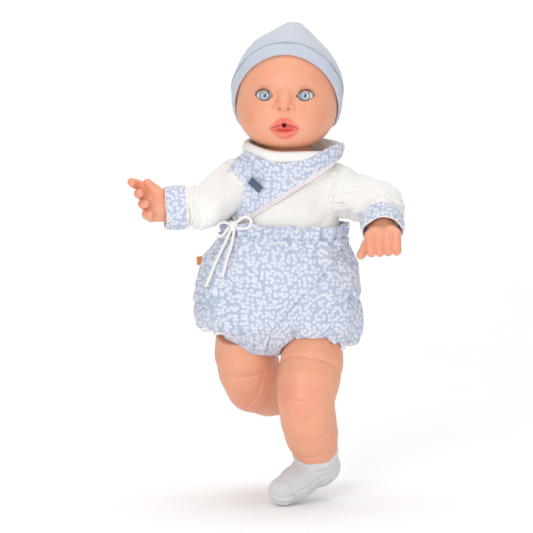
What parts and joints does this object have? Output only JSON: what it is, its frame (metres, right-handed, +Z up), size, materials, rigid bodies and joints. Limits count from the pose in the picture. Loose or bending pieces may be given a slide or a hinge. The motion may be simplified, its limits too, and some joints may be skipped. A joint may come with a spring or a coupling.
{
  "type": "interactive baby doll",
  "caption": "Soft-bodied baby doll with vinyl head, arms and legs, sleep eyes, a sound module in the belly, and a cap, wrap top, bloomers and socks",
  "frame": {"origin": "on the ground, under the middle of the doll's box as posed", "axes": "+Z up, the doll faces -Y, +X is the doll's left"},
  "size_m": [0.2606, 0.1852, 0.4842],
  "materials": {
    "body_cloth": "brushed cotton, stuffed",
    "white_jersey": "fine cotton jersey",
    "floral_cotton": "printed cotton",
    "white_cord": "cotton cord",
    "orange_tape": "woven tape",
    "dark_blue_tape": "woven tape",
    "module_plastic": "moulded",
    "black_plastic": "moulded",
    "button_plastic": "moulded",
    "battery_wrap": "printed sleeve",
    "board_green": "solder mask",
    "tie_nylon": "nylon",
    "steel": "plated",
    "skin_vinyl": "matt soft vinyl",
    "skin_vinyl_lid": "matt soft vinyl",
    "lip_vinyl": "painted soft vinyl",
    "eye_acrylic": "polished acrylic",
    "hat_jersey": "fine jersey",
    "hat_rib": "ribbed jersey",
    "sock_knit": "fine knit"
  },
  "bodies": {
    "trunk": {"batteries": "battery_wrap", "battery_contacts": "steel", "battery_door": "module_plastic", "battery_door_screw": "steel", "belly_spring": "steel", "bloomers_seat": "floral_cotton", "case_screws": "steel", "circuit_board": "board_green", "module_case_back": "module_plastic", "module_case_front": "module_plastic", "neck_band": "white_jersey", "neck_tab": "dark_blue_tape", "neck_tie": "tie_nylon", "side_label": "orange_tape", "speaker": "black_plastic", "tie_knot": "white_cord", "tie_loop_a": "white_cord", "tie_loop_b": "white_cord", "tie_tail_a": "white_cord", "tie_tail_b": "white_cord", "trunk_cloth": "body_cloth", "wrap_panel": "floral_cotton", "wrap_top": "white_jersey"},
    "neck": {"neck_plug": "module_plastic"},
    "head": {"eye_frame_left": "module_plastic", "eye_frame_right": "module_plastic", "hat_crown": "hat_jersey", "hat_cuff": "hat_rib", "head_shell": "skin_vinyl", "mouth_socket": "lip_vinyl", "mouth_spring": "steel"},
    "mouth_plunger": {"mouth_plunger": "button_plastic"},
    "belly_button": {"belly_button": "button_plastic"},
    "power_slider": {"power_slider": "black_plastic"},
    "eye_left": {"eyeball_left": "eye_acrylic", "eyelid_left": "skin_vinyl_lid", "eye_weight_left": "steel"},
    "shoulder_left": {"shoulder_left": "body_cloth"},
    "upper_arm_left": {"upper_arm_left": "body_cloth", "sleeve_upper_left": "white_jersey"},
    "forearm_left": {"forearm_left": "skin_vinyl", "sleeve_lower_left": "white_jersey", "cuff_left": "floral_cotton"},
    "thigh_left": {"thigh_left": "body_cloth", "bloomers_leg_left": "floral_cotton"},
    "leg_left": {"leg_left": "skin_vinyl", "sock_left": "sock_knit"},
    "eye_right": {"eyeball_right": "eye_acrylic", "eyelid_right": "skin_vinyl_lid", "eye_weight_right": "steel"},
    "shoulder_right": {"shoulder_right": "body_cloth"},
    "upper_arm_right": {"upper_arm_right": "body_cloth", "sleeve_upper_right": "white_jersey"},
    "forearm_right": {"forearm_right": "skin_vinyl", "sleeve_lower_right": "white_jersey", "cuff_right": "floral_cotton"},
    "thigh_right": {"thigh_right": "body_cloth", "bloomers_leg_right": "floral_cotton"},
    "leg_right": {"leg_right": "skin_vinyl", "sock_right": "sock_knit"}
  },
  "joints": [
    {"name": "head_nod", "type": "hinge", "parent": "trunk", "child": "neck", "pos_m": [0.01499, -0.0224, 0.33668], "axis": [0.9986, 0, -0.0523], "range_deg": [-15, 5]},
    {"name": "head_turn", "type": "hinge", "parent": "neck", "child": "head", "pos_m": [0.01499, -0.0224, 0.33668], "axis": [0.0096, 0.1561, 0.9877], "range_deg": [-50, 50]},
    {"name": "eye_roll_left", "type": "hinge", "parent": "head", "child": "eye_left", "pos_m": [0.03283, -0.06381, 0.41217], "axis": [0.9981, -0.061, 0], "range_deg": [0, 70]},
    {"name": "eye_roll_right", "type": "hinge", "parent": "head", "child": "eye_right", "pos_m": [-0.0071, -0.06137, 0.41217], "axis": [0.9981, -0.061, 0], "range_deg": [0, 70]},
    {"name": "mouth_press", "type": "slide", "parent": "head", "child": "mouth_plunger", "axis": [0.0603, 0.9858, -0.1564], "range_m": [0, 0.003], "stiffness_N_per_m": 150, "springref_m": -0.002, "deforming": ["mouth_spring"]},
    {"name": "belly_press", "type": "slide", "parent": "trunk", "child": "belly_button", "axis": [0, 1, 0], "range_m": [0, 0.0025], "stiffness_N_per_m": 300, "springref_m": -0.002, "deforming": ["belly_spring"]},
    {"name": "power_slide", "type": "slide", "parent": "trunk", "child": "power_slider", "axis": [0.9986, 0, -0.0523], "range_m": [0, 0.004]},
    {"name": "arm_swing_left", "type": "hinge", "parent": "trunk", "child": "shoulder_left", "pos_m": [0.06088, -0.0224, 0.31425], "axis": [0.9986, 0, -0.0523], "range_deg": [-45, 26]},
    {"name": "arm_raise_left", "type": "hinge", "parent": "shoulder_left", "child": "upper_arm_left", "pos_m": [0.06088, -0.0224, 0.31425], "axis": [-0.1881, -0.9822, 0], "range_deg": [-10, 45]},
    {"name": "arm_twist_left", "type": "hinge", "parent": "upper_arm_left", "child": "forearm_left", "pos_m": [0.09283, -0.02852, 0.30439], "axis": [0.94, -0.18, -0.29], "range_deg": [-40, 30]},
    {"name": "hip_swing_left", "type": "hinge", "parent": "trunk", "child": "thigh_left", "pos_m": [0.04677, -0.0224, 0.1788], "axis": [0.9986, 0, -0.0523], "range_deg": [-44, 12]},
    {"name": "leg_twist_left", "type": "hinge", "parent": "thigh_left", "child": "leg_left", "pos_m": [0.04677, -0.0224, 0.1788], "axis": [0.1667, 0.4963, 0.852], "range_deg": [-20, 35]},
    {"name": "arm_swing_right", "type": "hinge", "parent": "trunk", "child": "shoulder_right", "pos_m": [-0.03299, -0.0224, 0.31917], "axis": [0.9986, 0, -0.0523], "range_deg": [-45, 5]},
    {"name": "arm_raise_right", "type": "hinge", "parent": "shoulder_right", "child": "upper_arm_right", "pos_m": [-0.03299, -0.0224, 0.31917], "axis": [-0.6508, 0.7593, 0], "range_deg": [0, 50]},
    {"name": "arm_twist_right", "type": "hinge", "parent": "upper_arm_right", "child": "forearm_right", "pos_m": [-0.05695, -0.04294, 0.30651], "axis": [-0.7046, -0.604, -0.3724], "range_deg": [-50, 50]},
    {"name": "hip_swing_right", "type": "hinge", "parent": "trunk", "child": "thigh_right", "pos_m": [-0.03312, -0.0224, 0.18299], "axis": [0.9986, 0, -0.0523], "range_deg": [-15, 20]},
    {"name": "leg_twist_right", "type": "hinge", "parent": "thigh_right", "child": "leg_right", "pos_m": [-0.03312, -0.0224, 0.18299], "axis": [-0.1616, -0.4288, 0.8888], "range_deg": [-10, 55]}
  ]
}
